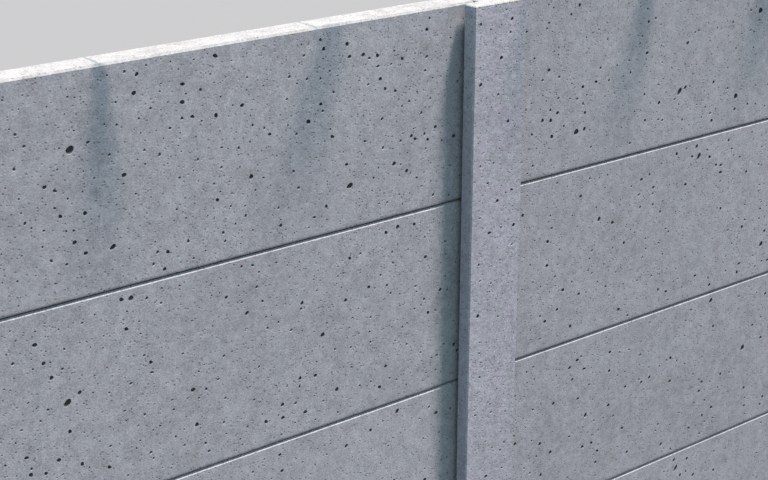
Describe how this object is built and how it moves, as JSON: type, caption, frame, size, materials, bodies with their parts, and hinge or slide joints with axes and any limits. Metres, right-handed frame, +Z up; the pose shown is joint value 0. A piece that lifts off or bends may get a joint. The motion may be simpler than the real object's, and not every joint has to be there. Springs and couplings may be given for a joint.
{
  "type": "concrete panel fence",
  "caption": "Run of fence in bays: smooth concrete panels stacked edge on edge in the slots of H-section concrete posts, with a flat top level with the posts.",
  "frame": {"origin": "centre of the middle post's foot, at ground level", "axes": "+X runs along the fence, -Y is the front, +Z is up"},
  "size_m": [7.628, 0.102, 1.8],
  "materials": {
    "post_concrete": "matt cast concrete, light bluish grey, a little rough and pitted",
    "panel_concrete": "matt cast concrete, bluish grey, smooth, with round air pits"
  },
  "bodies": {
    "root": {"post_1": "post_concrete", "post_2": "post_concrete", "post_3": "post_concrete", "post_4": "post_concrete", "post_5": "post_concrete", "bay_1_panel_1": "panel_concrete", "bay_1_panel_2": "panel_concrete", "bay_1_panel_3": "panel_concrete", "bay_1_panel_4": "panel_concrete", "bay_1_panel_5": "panel_concrete", "bay_1_panel_6": "panel_concrete", "bay_2_panel_1": "panel_concrete", "bay_2_panel_2": "panel_concrete", "bay_2_panel_3": "panel_concrete", "bay_2_panel_4": "panel_concrete", "bay_2_panel_5": "panel_concrete", "bay_2_panel_6": "panel_concrete", "bay_3_panel_1": "panel_concrete", "bay_3_panel_2": "panel_concrete", "bay_3_panel_3": "panel_concrete", "bay_3_panel_4": "panel_concrete", "bay_3_panel_5": "panel_concrete", "bay_3_panel_6": "panel_concrete", "bay_4_panel_1": "panel_concrete", "bay_4_panel_2": "panel_concrete", "bay_4_panel_3": "panel_concrete", "bay_4_panel_4": "panel_concrete", "bay_4_panel_5": "panel_concrete", "bay_4_panel_6": "panel_concrete"}
  },
  "joints": []
}
